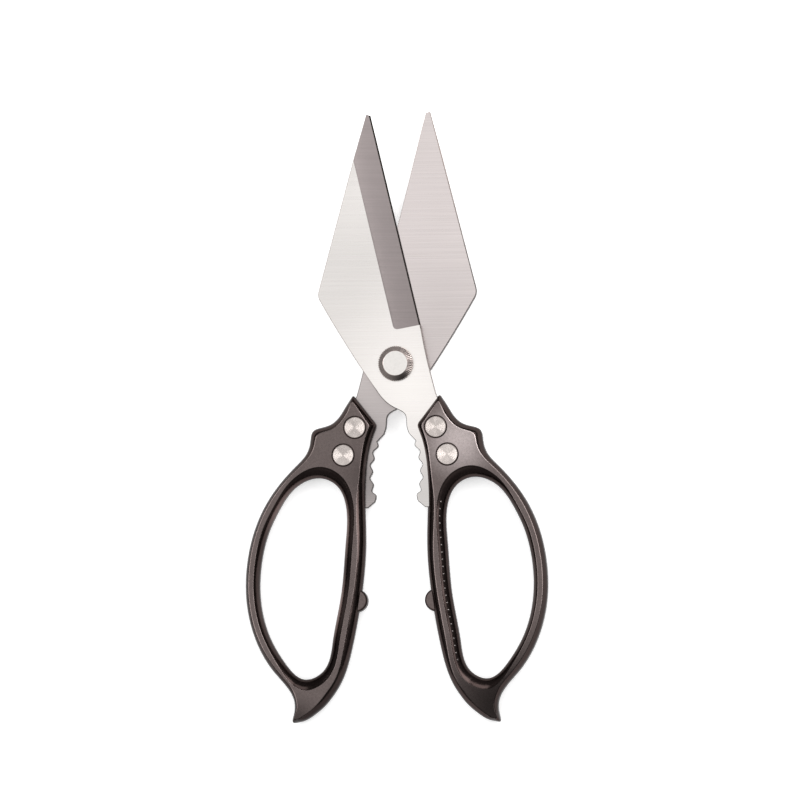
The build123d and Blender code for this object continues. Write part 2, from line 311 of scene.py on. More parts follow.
def metal(name, look):
    # Bare or plated metal. Grain is noise drawn out along one direction, blush is a slow change of
    # tone, and the painted light is round places of painted highlight or painted shade, where the
    # tone is made paler, darker or tinted: place and radius in metres, and what the tone is
    # multiplied by at the middle.
    material = bpy.data.materials.new(name)
    material.use_nodes = True
    tree = material.node_tree
    shader = tree.nodes["Principled BSDF"]
    shader.inputs["Metallic"].default_value = 1.0
    rim = look.get("rim", 1.0)
    shader.inputs["Specular Tint"].default_value = (rim, rim, rim, 1)
    where = addNode(tree, "ShaderNodeTexCoord").outputs["Object"]
    along = addNode(tree, "ShaderNodeMapping", {
        "Vector": where, "Rotation": (0, 0, radians(look.get("grainTurn", 0))),
        "Scale": np.broadcast_to(look["grain"], 3).tolist()})
    grain = addNode(tree, "ShaderNodeTexNoise", {
        "Vector": along.outputs["Vector"], "Scale": 1.0, "Detail": 3.0, "Roughness": 0.6})
    blush = addNode(tree, "ShaderNodeTexNoise", {
        "Vector": where, "Scale": look.get("blush", 45.0), "Detail": 2.0})
    tone = addNode(tree, "ShaderNodeMix", {
        0: blush.outputs["Fac"], 6: (*look["dark"], 1), 7: (*look["light"], 1)},
        data_type="RGBA")

    def byGrain(low, high):
        return addNode(tree, "ShaderNodeMapRange", {
            "Value": grain.outputs["Fac"], "From Min": grainRange[0],
            "From Max": grainRange[1], "To Min": low, "To Max": high}).outputs["Result"]

    streak = byGrain(1 - look["streak"], 1 + look["streak"])
    shade = addNode(tree, "ShaderNodeVectorMath", {0: tone.outputs[2], "Scale": streak},
                    operation="SCALE")
    # Each round place of painted light multiplies the tone: up for a painted highlight, down for
    # painted shade.
    for place, radius, gain in look.get("paintedLight", []):
        far = addNode(tree, "ShaderNodeVectorMath", {0: where, 1: place},
                      operation="DISTANCE")
        paintedPool = addNode(tree, "ShaderNodeMapRange", {
            6: far.outputs["Value"], 7: (0, 0, 0), 8: (radius,) * 3,
            9: np.broadcast_to(gain, 3).tolist(), 10: (1, 1, 1)},
            data_type="FLOAT_VECTOR", interpolation_type="SMOOTHSTEP")
        shade = addNode(tree, "ShaderNodeVectorMath", {
            0: shade.outputs["Vector"], 1: paintedPool.outputs[1]}, operation="MULTIPLY")
    tree.links.new(shade.outputs["Vector"], shader.inputs["Base Color"])
    tree.links.new(byGrain(*look["rough"]), shader.inputs["Roughness"])
    bump = addNode(tree, "ShaderNodeBump", {
        "Height": grain.outputs["Fac"], "Strength": look["bump"], "Distance": bumpDepth})
    if "wave" in look:
        swell = addNode(tree, "ShaderNodeTexNoise", {
            "Vector": where, "Scale": look["waveScale"], "Detail": 1.0})
        soft = addNode(tree, "ShaderNodeBump", {
            "Height": swell.outputs["Fac"], "Strength": 1.0, "Distance": look["wave"]})
        tree.links.new(soft.outputs["Normal"], bump.inputs["Normal"])
    tree.links.new(bump.outputs["Normal"], shader.inputs["Normal"])
    return material


print("stage: finishes")
castMetal = {
    "dark": (0.112, 0.088, 0.084), "light": (0.142, 0.116, 0.111), "streak": 0.12,
    "grain": 1500, "rough": (0.24, 0.30), "bump": 0.10,
    "wave": 0.0010, "waveScale": 42.0, "blush": 60.0, "rim": 0.8,
}
brushedMetal = {
    "streak": 0.025, "grain": (14, 2600, 14), "rough": (0.25, 0.33), "bump": 0.2,
    "blush": 26.0,
}
planed = {
    "streak": 0.06, "grain": (900, 900, 3000), "rough": (0.30, 0.40), "bump": 0.2,
}
finishes = {
    "frontBrushed": {
        **brushedMetal, "dark": (0.615, 0.588, 0.568), "light": (0.70, 0.67, 0.65),
        # painted light: a painted highlight round the neck, painted shade lower on the tang, and a
        # paler stretch towards the tip
        "paintedLight": [((0.004, -0.004, 0.007), 0.042, 1.27),
                  ((0.010, -0.046, 0.007), 0.022, 0.85),
                  ((-0.017, 0.064, 0.007), 0.030, 1.09)]},
    # The rear blade is the front blade's steel painted darker as shade, with painted shade deepest
    # over its tang and a little towards its lower right.
    "rearBrushed": {
        **brushedMetal, "dark": (0.58, 0.526, 0.515), "light": (0.66, 0.604, 0.595),
        "streak": 0.055,
        "paintedLight": [((-0.009, -0.038, 0.004), 0.068, 0.60),
                  ((-0.009, -0.042, 0.004), 0.014, 0.78),
                  ((0.016, 0.022, 0.004), 0.03, 0.9)]},
    # The plates' sides: the blade's steel painted darker as shade; on the front one a painted
    # shadow where it lies over the rear tang.
    "frontSide": {
        **planed, "dark": (0.32, 0.28, 0.265), "light": (0.42, 0.37, 0.355),
        "paintedLight": [((0.008, -0.038, 0.006), 0.020, 0.15)]},
    # The rear plate's sides are its steel painted near black as shade, painted paler towards the
    # tip.
    "rearSide": {
        **planed, "streak": 0.08, "dark": (0.05, 0.038, 0.034), "light": (0.08, 0.062, 0.056),
        "paintedLight": [((0.012, 0.085, 0.003), 0.060, 6.0)]},
    # The ground band: a rougher ground finish whose darkness is partly painted shade from its
    # slant, with a painted paler stretch near the tip and painted shade near the heel.
    "groundBand": {
        "dark": (0.24, 0.21, 0.208), "light": (0.282, 0.246, 0.242), "streak": 0.05,
        "grain": (30, 2600, 30), "grainTurn": -7, "rough": (0.30, 0.40),
        "bump": 0.3, "blush": 40.0,
        "paintedLight": [((-0.009, 0.085, 0.007), 0.045, 1.15), ((0.0, 0.012, 0.007), 0.03, 0.9)]},
    # The keen edge: the blade's steel painted near black as the shade and dark reflection on its
    # steep slope.
    "keenEdge": {
        "dark": (0.055, 0.045, 0.042), "light": (0.10, 0.085, 0.08), "streak": 0.15,
        "grain": (2600, 200, 300), "rough": (0.16, 0.24), "bump": 0.2, "rim": 0.4},
    # Each casting's faces are one metal in two copies for their painted light: on the right one a
    # painted pale sheen over the head, painted shade at its right edge and over the tail.
    "rightFaces": {
        **castMetal, "paintedLight": [((0.023, -0.0275, 0.0095), 0.0180, (3.5, 3.75, 3.85)),
                             ((0.0340, -0.030, 0.0095), 0.007, 0.5),
                             ((0.037, -0.122, 0.0095), 0.040, 0.15)]},
    # On the left casting, painted shade low on the head and at the tail's tip.
    "leftFaces": {
        **castMetal, "paintedLight": [((-0.011, -0.041, 0.0095), 0.013, 0.7),
                             ((-0.036, -0.128, 0.0095), 0.013, 0.4)]},
    # The casting's sides: the faces' metal painted near black as shade, with painted reflections
    # paler along the left loop and deeper shade at the left tail.
    "flankPaintedShade": {
        "dark": (0.034, 0.024, 0.022), "light": (0.052, 0.038, 0.036), "streak": 0.15,
        "grain": 1800, "rough": (0.16, 0.24), "bump": 0.3,
        "wave": 0.0006, "waveScale": 60.0, "blush": 80.0, "rim": 0.6,
        "paintedLight": [((-0.028, -0.124, 0.004), 0.030, 0.5),
                  ((-0.030, -0.058, 0.006), 0.019, 11.0),
                  ((-0.032, -0.085, 0.006), 0.019, 11.0)]},
    # The beads: the casting's metal painted paler as the sheen on their tops.
    "beadPaintedSheen": {
        "dark": (0.21, 0.185, 0.18), "light": (0.29, 0.255, 0.245), "streak": 0.1,
        "grain": 1800, "rough": (0.18, 0.26), "bump": 0.1},
    "turnedSteel": {
        "dark": (0.43, 0.385, 0.367), "light": (0.60, 0.545, 0.513), "streak": 0.08,
        "grain": 900, "rough": (0.12, 0.2), "bump": 0.15,
        "blush": 260.0,
        # painted light: a painted highlight on a right-hand rivet, painted shade on a left-hand
        # one
        "paintedLight": [((0.0182, -0.0326, 0.0095), 0.008, 1.18),
                  ((-0.017, -0.027, 0.0095), 0.012, 0.93)]},
    # A rivet's rim and side: its steel painted near black as the shade in the gap round its head.
    "rivetRimPaintedShade": {
        "dark": (0.10, 0.08, 0.075), "light": (0.15, 0.12, 0.115), "streak": 0.1,
        "grain": 1500, "rough": (0.25, 0.35), "bump": 0.2},
    "pivotFace": {
        "dark": (0.67, 0.64, 0.615), "light": (0.81, 0.785, 0.755), "streak": 0.04,
        "grain": 1400, "rough": (0.18, 0.26), "bump": 0.15},
    "pivotSteel": {
        "dark": (0.60, 0.51, 0.48), "light": (0.74, 0.64, 0.60), "streak": 0.08,
        "grain": 1400, "rough": (0.10, 0.18), "bump": 0.25,
        # painted light: the cone made darker at its right, paler at its top, and darkest towards
        # its lower side
        "rim": 0.7, "paintedLight": [((0.0060, 0.0006, 0.0088), 0.0040, 0.8),
                              ((0.0, 0.0060, 0.0088), 0.0040, 1.25),
                              ((0.0026, -0.0055, 0.0088), 0.0066, 0.18)]},
    "washerSteel": {
        "dark": (0.42, 0.40, 0.39), "light": (0.52, 0.50, 0.48), "streak": 0.05,
        "grain": 1200, "rough": (0.28, 0.36), "bump": 0.2},
}
metals = {name: metal(name, look) for name, look in finishes.items()}


handle = {
    "headDrop": 13.2, "headSpan": 27.7, "headLength": 30.45,
    "cornerTrims": (0.8, 1.3, 1.3, 1.9),  # tip, inner corner, tail, outer corner
    "flankWidth": 1.9, "sideLand": 0.9, "edgeRadius": 1.0, "loopEdgeThin": 0.15,
    "loopEdgeThick": 0.6, "edgeSteps": 6, "edgeFlat": 0.04,
    "skin": 0.045,  # how far the piece stays inside its solid
    "flankSteep": 45, "flankSteps": 9, "step": 0.55, "cornerSteps": 7,
    "faceDepth": 0.2,  # faces less deep than this have the face's finish, not the flank's painted shade
    "loopWidth": 29.75, "loopLength": 71.85, "loopOffset": 10.0,
    "innerLeg": 7.45, "outerLeg": 5.2, "loopFlankWidth": 2.6, "tailLength": 16.3,
    "legFlankShare": 1.4, "outerLegFlankShare": 0.8,  # of flankWidth
    "recessGap": 0.2, "recessDepth": 1.1, "recessLip": 0.1, "recessSides": 96,
    "slotClearance": 0.06, "slotTop": 13.2, "slotOut": 2.0, "slotCornerSteps": 6,
    "tangCorner": 2.0, "stopRadius": 4.1, "stopDrop": 85.6, "stopHalf": 2.3,
    "stopGap": 0.1, "stopEdge": 0.65, "stopSides": 72, "stopSlack": 0.1,
    "stopFlatness": 0.98, "sharpAngle": 27,
}

# Outlines in shares: across, down and, where there is a third, the flank's width
tipShares = (0.511, -0.018, 0.8)
innerCornerShares = (0.157, 0.303, 1.08)
innerSideShares = [(0.202, 0.486, 1.1), (0.227, 0.749, 1.0), (0.218, 0.960, 1.1)]
outerSideShares = [(1.136, 0.880, 0.85), (1.047, 0.769, 0.95), (1.0035, 0.663, 1.1)]
outerCornerShares = (0.992, 0.449, 1.2)
hollowSideShares = [(0.757, 0.3547, 1.15), (0.657, 0.2529, 1.1), (0.592, 0.128, 1.0)]
loopInnerShares = [(0.076, 0.116, 1.3), (0.020, 0.311, 1.2), (0.0007, 0.562, 1.2),
                   (0.034, 0.798, 1.2), (0.1075, 0.951, 1.4)]
loopBottomShares = [(0.303, 1.0, 1.6)]
loopOuterShares = [(0.585, 0.926, 0.9), (0.829, 0.784, 0.75), (0.966, 0.617, 0.75),
                   (1.0, 0.464, 0.75), (0.9486, 0.283, 0.75), (0.8568, 0.172, 0.7),
                   (0.700, 0.060, 0.9)]
loopTopShares = [(0.400, 0.0, 1.5), (0.195, 0.0335, 1.45)]
loopShares = loopInnerShares + loopBottomShares + loopOuterShares + loopTopShares
tailInnerShares = [(-0.107, 0.088, 1.1), (-0.056, 0.276, 1.15), (0.028, 0.521, 1.1),
                   (0.154, 0.767, 0.9), (0.265, 0.914, 0.7)]
tailTipShares = (0.403, 1.0, 0.45)
tailOuterShares = [(0.391, 0.706, 0.6), (0.4165, 0.472, 0.65), (0.489, 0.276, 0.75),
                   (0.590, 0.095, 0.75)]
rivetShares = [(0.422, 0.369), (0.529, 0.7065)]
notchShares = [(0.040, 0.177), (0.047, 0.233), (0.043, 0.322), (0.060, 0.401)]
tangSideShares = [(0.469, -0.016), (0.708, 0.617), (0.693, 0.880), (0.415, 0.979)]


def headSpots(shares):
    return spots(shares, handle["headSpan"], handle["headLength"], 0, handle["headDrop"])


def loopSpots(shares):
    return spots(shares, handle["loopWidth"], handle["loopLength"], handle["loopOffset"],
                 handle["headDrop"] + handle["headLength"])


def tailSpots(shares):
    floor = handle["headDrop"] + handle["headLength"] + handle["loopLength"]
    return spots(shares, handle["loopWidth"], handle["tailLength"], handle["loopOffset"], floor)


def legSpots(shares, width):
    first = loopShares.index(shares[0])
    points = movedLeft(loopSpots(loopShares), [-width] * len(loopShares), closed=True)
    return points[first:first + len(shares)]


def handleStretches():
    # The outline between its corners, down the inner side and up the outer side, as points
    # with their flanks' widths.
    def part(makeSpots, shares):
        return [(point, row[2] * handle["flankWidth"])
                for point, row in zip(makeSpots(shares), shares)]

    def leg(shares, width, flankShare):
        return [(point, flankShare * handle["flankWidth"]) for point in legSpots(shares, width)]

    return [
        part(headSpots, [tipShares, innerCornerShares]),
        part(headSpots, [innerCornerShares, *innerSideShares])
        + leg(loopInnerShares[:-1], handle["innerLeg"], handle["legFlankShare"])
        + part(tailSpots, [*tailInnerShares, tailTipShares]),
        part(tailSpots, [tailTipShares, *tailOuterShares])
        + leg(loopOuterShares[:-1], handle["outerLeg"], handle["outerLegFlankShare"])
        + part(headSpots, [*outerSideShares, outerCornerShares]),
        part(headSpots, [outerCornerShares, *hollowSideShares, tipShares]),
    ]


def handleRing(share, counts=None):
    # The outline drawn in by a share of its flank. Equal counts let rings be joined.
    stretches = [list(zip(*stretch)) for stretch in handleStretches()]
    corners = []
    for i, (points, widths) in enumerate(stretches):
        before = stretches[i - 1][0]
        arriving, leaving = unit(before[-1] - before[-2]), unit(points[1] - points[0])
        first, second = leftOf(arriving), leftOf(leaving)
        corner = points[0] + (first + second) * widths[0] * share / (1 + first.dot(second))
        trim = handle["cornerTrims"][i]
        corners.append((corner - arriving * trim, corner, corner + leaving * trim,
                        arriving, leaving))
    ring, used = [], []
    for i, (points, widths) in enumerate(stretches):
        end, corner, start, arriving, leaving = corners[i]
        nextEnd, _, _, nextArriving, _ = corners[(i + 1) % len(corners)]
        line = [start, *movedLeft(points, [w * share for w in widths]), nextEnd]
        spans = counts[i] if counts else spanCounts(line, handle["step"])
        used.append(spans)
        ring += roundedCorner(end, corner, start, handle["cornerSteps"])
        ring += smoothLine(line, spans, leaving, nextArriving)
    return np.array(ring), used


def loopRing(share, counts=None):
    widths = [-row[2] * handle["loopFlankWidth"] * share for row in loopShares]
    points = movedLeft(loopSpots(loopShares), widths, closed=True)
    spans = counts or spanCounts(points, handle["step"], closed=True)
    return np.array(smoothLine(points, spans, closed=True)), spans


def flankProfile():
    # From the flat face to half height: share of the flank and depth, then what one unit of
    # edge radius adds inwards and down. The slope is part of a circle.
    steep = radians(handle["flankSteep"])
    depth = (handleTop - handle["sideLand"]) / 2
    reach = tan(steep / 2)
    rows = []
    for i in range(handle["edgeSteps"] + 1):
        angle = steep * i / handle["edgeSteps"]
        rows.append((1.0, 0.0, reach - sin(angle), 1 - cos(angle)))
    for i in range(1, handle["flankSteps"] + 1):
        angle = steep + (pi / 2 - steep) * i / handle["flankSteps"]
        share = (1 - sin(angle)) / (1 - sin(steep))
        rows.append((share, depth * (cos(steep) - cos(angle)) / cos(steep), 0.0, 0.0))
    return rows


def flankRings(makeRing, thin, thick):
    # Rings from the front face to the back face with their heights. Both edges are rounded,
    # by the thin radius where they face right or down, going over to the thick one.
    full, counts = makeRing(0.0)
    drawn, _ = makeRing(1.0, counts)
    lean = drawn - full
    facing = lean / np.linalg.norm(lean, axis=1)[:, None]
    edge = thin + (thick - thin) * np.clip(0.5 + (facing[:, 0] - facing[:, 1]) / 2, 0, 1)
    start = facing * handle["skin"]
    top = start + lean + facing * (edge * tan(radians(handle["flankSteep"]) / 2)
                                   + handle["edgeFlat"])[:, None]
    rings = [(full + top, np.full(len(full), handleTop))]
    for share, depth, inwards, down in flankProfile():
        rings.append((full + start + lean * share + facing * (edge * inwards)[:, None],
                      handleTop - depth - edge * down))
    return rings + [(ring, handleTop - height) for ring, height in reversed(rings)]


def tangSide():
    # The side of the tang that the handle hides, down to its lower end.
    return headSpots(tangSideShares) + fromLastTooth([tailCornerShares, tailEndShares])


def recessTool(place):
    # What sinks a rivet's two heads into the casting: a bore with a wide round pocket and
    # a small slanted lip at each face.
    radius = rivetRadius + handle["recessGap"]
    depth, lip, out = handle["recessDepth"], handle["recessLip"], handle["slotOut"]
    upper = [(radius + lip + out, -out), (radius, lip), (radius, depth),
             (tool["rivetHoleRadius"], depth)]
    levels = [(size, handleTop - down) for size, down in upper] + upper[::-1]
    return stacked([(circle(place, size, handle["recessSides"]), height)
                    for size, height in levels], "recessTool")


def slotTool():
    # The room for the tang: its hidden side, open on the inner side.
    side = tangSide()
    top = side[0] + unit(side[0] - side[1]) * handle["slotTop"]
    path = [top, *side[1:]]
    path.append(side[-1] + unit(side[-1] - side[-2]) * handle["headSpan"])
    gap, out = handle["slotClearance"], handle["slotOut"]
    shifted = movedLeft(path, [gap] * len(path))
    first = top + leftOf(unit(path[1] - top)) * gap
    hidden = filleted([first, *shifted], handle["tangCorner"], handle["slotCornerSteps"])
    ring = hidden + [np.array((-out, hidden[-1][1])), np.array((-out, hidden[0][1]))]
    return stacked([(ring[::-1], bladeTop + gap), (ring[::-1], bladeLow - gap)], "slotTool")


def stopDisc():
    # A disc at half height with a rounded rim.
    place = (handle["stopRadius"] + handle["stopGap"], -handle["stopDrop"])
    levels = []
    for angle in (90, 60, 30, 0):
        inset = handle["stopEdge"] * (1 - cos(radians(angle)))
        drop = handle["stopEdge"] * (1 - sin(radians(angle)))
        levels.append((handle["stopRadius"] - inset, handle["stopHalf"] - drop))
    levels += [(size, -height) for size, height in reversed(levels)]
    return stacked([(circle(place, size, handle["stopSides"]), handleTop / 2 + height)
                    for size, height in levels], "stopDisc")


def castHandle():
    edge = handle["edgeRadius"]
    opening = flankRings(loopRing, handle["loopEdgeThin"], handle["loopEdgeThick"])
    return stacked(flankRings(handleRing, edge, edge), "casting", [opening])


blade = {
    "reach": 90.5, "tipLead": 1.35, "tipWidth": 1.55, "tipSlant": 0.6, "rearMargin": 0.9,
    "bellyWidth": 25.25, "bellyHeight": 27.7, "bellyRadius": 4.8, "bellySteps": 14,
    "bellyClear": 1.1, "heelWidth": 10.3, "heelHeight": 12.7, "neckWidth": 11.3,
    "neckReach": 13.2, "neckBow": 0.55, "neckSteps": 14, "tangCornerSteps": 8,
    "step": 0.45, "lineStep": 6.0, "edgeBreak": 0.2, "holeSides": 64,
    "bandWidth": 9.6, "bandCorner": 1.5, "bandCornerSteps": 8, "bandSkew": 0.05,
    "bandSteps": 12, "edgeThickness": 0.5, "hollow": 0.2, "keenWidth": 0.62,
    "keenEdge": 0.08,  # what is left of the plate at the very edge
    "overrun": 2.0,
    "toothCount": 4, "toothPitch": 4.63, "toothDepth": 1.05, "toothBow": 0.95,
    "toothLean": 0.55, "toothStepShare": 0.7, "teethWidth": 3.2, "teethStart": 29.8,
    # what tells the band's faces and the sides from the flats
    "bandLeast": 0.01, "bandFlatness": 0.3, "keenShare": 0.99, "sideFlatness": 0.9,
    "sharpAngle": 20,
}

# Outlines in shares of the neck and of the tooth pitch: across and down
neckShares = [(-0.62, 0.811), (-0.425, 1.03), (-0.16, 1.212), (0.018, 1.318)]
rootShares = (0.13, -0.32)
lobeShares = [(-0.27, 0.756), (-0.313, 1.015), (-0.26, 1.317)]
tailEndShares = (0.227, 1.836)
tailCornerShares = (1.22, 1.987)


def fromLastTooth(shares):
    last = blade["teethStart"] + (blade["toothCount"] - 1) * blade["toothPitch"]
    return spots(shares, blade["toothPitch"], blade["toothPitch"], blade["teethWidth"], last)


def toothSpots():
    # Root, teeth and lobe down the tang's inner side; the tips stand on a bowed line.
    pitch = blade["toothPitch"]
    middle = pitch * (blade["toothCount"] - 1) / 2

    def line(drop):
        return blade["teethWidth"] + blade["toothBow"] * (1 - ((drop - middle) / middle) ** 2)

    points = [np.array((blade["teethWidth"] + rootShares[0] * pitch,
                        -blade["teethStart"] - rootShares[1] * pitch))]
    for i in range(blade["toothCount"]):
        tip, valley = i * pitch, (i + blade["toothLean"]) * pitch
        points.append(np.array((line(tip), -blade["teethStart"] - tip)))
        points.append(np.array((line(valley) + blade["toothDepth"],
                                -blade["teethStart"] - valley)))
    return points + fromLastTooth(lobeShares)


def cuttingEdge(margin):
    # Heel and tip of the cutting edge of a blade that stands out by a margin.
    tip = (blade["tipLead"] - margin, blade["reach"] + margin - blade["tipSlant"])
    return np.array((blade["heelWidth"], blade["heelHeight"])), np.array(tip)


def bladeRing(margin):
    # The plate's outline as a dense ring: drawn clockwise from the tip, returned the other
    # way round.
    heel, tipEdge = cuttingEdge(margin)
    tipBack = tipEdge + (-blade["tipWidth"], blade["tipSlant"])
    neckSide = np.array((blade["neckWidth"], 0.0))
    side = tangSide()
    teeth = toothSpots()[::-1]
    neck = spots(neckShares, blade["neckWidth"], blade["neckReach"])
    inner = headSpots(notchShares)[::-1] + neck[::-1]
    belly = np.array((-blade["bellyWidth"], blade["bellyHeight"]))
    slide = unit(belly - neck[0])
    belly = belly - slide * margin / 2 / slide[0]
    lineStep, step = blade["lineStep"], blade["step"]
    bend = (neck[0] + belly) / 2 + leftOf(unit(neck[0] - belly)) * -2 * blade["neckBow"]
    ring = straight(tipBack, tipEdge, step) + straight(tipEdge, heel, lineStep)
    throat = [heel, neckSide, side[0]]
    ring += smoothLine(throat, spanCounts(throat, step))
    ring += filleted(side, handle["tangCorner"], blade["tangCornerSteps"])[:-1]
    ring += straight(side[-1], teeth[0], step)
    ring += smoothLine(teeth, spanCounts(teeth, step * blade["toothStepShare"]))
    ring += straight(teeth[-1], inner[0], step)
    ring += smoothLine(inner, spanCounts(inner, step))
    bowed = roundedCorner(neck[0], bend, belly, blade["neckSteps"])
    arriving, leaving = unit(belly - bowed[-1]), unit(tipBack - belly)
    reach = blade["bellyRadius"] / tan(np.arccos(-arriving.dot(leaving)) / 2)
    start, end = belly - arriving * reach, belly + leaving * reach
    ring += [p for p in bowed if np.linalg.norm(p - belly) > reach * blade["bellyClear"]]
    ring += roundedCorner(start, belly, end, blade["bellySteps"])
    ring += straight(end, tipBack, lineStep)
    return np.array(ring)[::-1]


def bandFloor(inset):
    # Depth of the ground band below the flat at a distance in from the cutting edge: a
    # hollow slope, then the narrow keen edge.
    full = bladeTop - bladeLow - blade["edgeThickness"]
    share = np.clip(1 - inset / blade["bandWidth"], 0, None)
    depth = full * share + 4 * blade["hollow"] * share * np.clip(1 - share, 0, None)
    keen = blade["keenWidth"]
    if inset < keen:
        start = bandFloor(keen)
        end = bladeTop - bladeLow - blade["keenEdge"]
        depth = start + (end - start) * (keen - inset) / keen
    return depth


def bandTool(margin):
    # What the grinding wheel takes off, swept along the cutting edge from the heel.
    heel, tip = cuttingEdge(margin)
    along = unit(tip - heel)
    across = leftOf(along)
    corner, out = blade["bandCorner"], blade["overrun"]
    width, keen, steps = blade["bandWidth"], blade["keenWidth"], blade["bandSteps"]
    stations = []
    for i in range(blade["bandCornerSteps"] + 1):
        turn = pi / 2 * i / blade["bandCornerSteps"]
        stations.append((corner * (1 - cos(turn)), width - corner * (1 - sin(turn))))
    stations.append((np.linalg.norm(tip - heel) + out, width))
    bm = bmesh.new()
    sections = []
    for distance, inner in stations:
        insets = [-out, 0, keen, *[keen + (inner - keen) * (i + 1) / steps for i in range(steps)]]
        profile = [(inset, bladeTop - bandFloor(inset)) for inset in insets]
        profile += [(inner, bladeTop + out), (-out, bladeTop + out)]
        section = []
        for inset, height in profile:
            x, y = heel + along * (distance + inset * blade["bandSkew"]) + across * inset
            section.append(bm.verts.new((x * mm, y * mm, height * mm)))
        sections.append(section)
    addWalls(bm, sections)
    bm.faces.new(sections[0])
    bm.faces.new(sections[-1][::-1])
    bmesh.ops.recalc_face_normals(bm, faces=bm.faces)
    return toObject(bm, "bandTool")


def flatPlate(margin):
    ring, edge = bladeRing(margin), blade["edgeBreak"]
    levels = [(edge, bladeTop), (0, bladeTop - edge), (0, bladeLow + edge), (edge, bladeLow)]
    holes = [((0, 0), tool["pivotHoleRadius"])]
    holes += [(place, tool["rivetHoleRadius"]) for place in headSpots(rivetShares)]
    return stacked([(insetRing(ring, inset), height) for inset, height in levels], "plate",
                   [[(circle(place, radius, blade["holeSides"]), height)
                     for height in (bladeTop, bladeLow)] for place, radius in holes])


def groundBlade(margin):
    # One plate with its band. The flat, the band, the keen edge and the sides get their own
    # finish; the keen edge and the sides are painted shade, and the band's darkness is partly
    # painted shade.
    piece = cut(flatPlate(margin), [bandTool(margin)])
    heel, tip = cuttingEdge(margin)
    across = leftOf(unit(tip - heel))
    for face in piece.data.polygons:
        x, y, z = face.center / mm
        inset = (np.array((x, y)) - heel).dot(across)
        onBand = (z < bladeTop - blade["bandLeast"] and inset < blade["bandWidth"]
                  and y > blade["heelHeight"] - blade["bandCorner"]
                  and face.normal[2] > blade["bandFlatness"])
        if onBand:
            face.material_index = 2 if inset < blade["keenWidth"] * blade["keenShare"] else 1
        else:
            face.material_index = 3 if abs(face.normal[2]) < blade["sideFlatness"] else 0
    return piece


halves = [("front", "right", turnFront, "front_half", 0.0),
          ("rear", "left", turnRear, "rear_half", blade["rearMargin"])]
for which, hand, turn, body, margin in halves:
    print("stage: " + hand + " handle")
    casting = cut(castHandle(), [stopDisc()], "UNION")
    cut(casting, [slotTool()])
    cut(casting, [recessTool(place) for place in headSpots(rivetShares)])
    crisp(casting, handle["sharpAngle"])
    # The faces and the stop's flats keep the metal; the sides get its painted shade.
    for face in casting.data.polygons:
        away = abs(face.center[2] / mm - handleTop / 2)
        onFace = away > handleTop / 2 - handle["faceDepth"]
        onStop = (away < handle["stopHalf"] + handle["stopSlack"]
                  and abs(face.normal[2]) > handle["stopFlatness"])
        face.material_index = 0 if onFace or onStop else 1
    finished(casting, hand + "_cast_handle", turn,
             [metals[hand + "Faces"], metals["flankPaintedShade"]], body,
             [hand + "_handle"])
    print("stage: " + which + " blade")
    plate = crisp(groundBlade(margin), blade["sharpAngle"])
    finished(plate, which + "_ground_blade", turn,
             [metals[which + "Brushed"], metals["groundBand"], metals["keenEdge"],
              metals[which + "Side"]], body,
             [which + "_blade"])


# Trees for pieces that repeat

def newTree(name, sockets):
    # A geometry tree with named inputs; returns it with its inputs as sockets.
    tree = bpy.data.node_groups.new(name, "GeometryNodeTree")
    tree.interface.new_socket(name="Geometry", in_out="OUTPUT",
                              socket_type="NodeSocketGeometry")
    for label, kind, value in [("Geometry", "Geometry", None), *sockets]:
        socket = tree.interface.new_socket(name=label, in_out="INPUT",
                                           socket_type="NodeSocket" + kind)
        if value is not None:
            socket.default_value = value
    return tree, tree.nodes.new("NodeGroupInput").outputs


def endTree(tree, copies, finish):
    # The copies are made real and get their finish.
    real = addNode(tree, "GeometryNodeRealizeInstances", {
        "Geometry": copies.outputs["Instances"]})
    dressed = addNode(tree, "GeometryNodeSetMaterial", {
        "Geometry": real.outputs["Geometry"], "Material": finish})
    addNode(tree, "NodeGroupOutput", {"Geometry": dressed.outputs["Geometry"]})
    return tree


def applyTree(piece, tree, values):
    # Sets a tree's inputs by their identifiers and makes the result a plain mesh.
    modifier = piece.modifiers.new(tree.name, "NODES")
    modifier.node_group = tree
    for item in tree.interface.items_tree:
        if item.in_out == "INPUT" and item.name in values:
            modifier[item.identifier] = values[item.name]
    return baked(piece)


